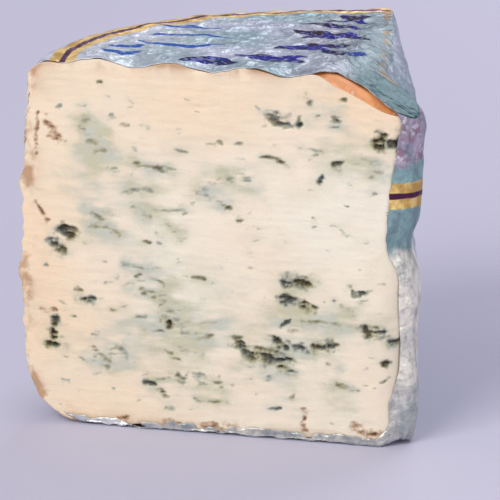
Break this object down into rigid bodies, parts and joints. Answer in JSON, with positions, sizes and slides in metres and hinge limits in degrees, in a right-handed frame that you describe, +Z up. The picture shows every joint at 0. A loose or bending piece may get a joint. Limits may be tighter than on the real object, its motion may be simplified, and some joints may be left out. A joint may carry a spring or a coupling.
{
  "type": "cheese wedge",
  "caption": "Wedge of blue-veined cheese cut from a round wheel, with an open cut face and the rest wrapped in printed foil.",
  "frame": {"origin": "under the middle of the wrapped wedge's box, on the surface it stands on", "axes": "+Z up along the wheel's own axis; the open cut face looks along -Y; the tip is at +X, the rim at -X and +Y"},
  "size_m": [0.103, 0.1008, 0.099],
  "materials": {
    "cheese": "moist ivory paste with blue-grey veins and holes, satin sheen",
    "foil": null
  },
  "bodies": {
    "root": {"cheese": "cheese", "foil_wrap": "foil"}
  },
  "joints": []
}
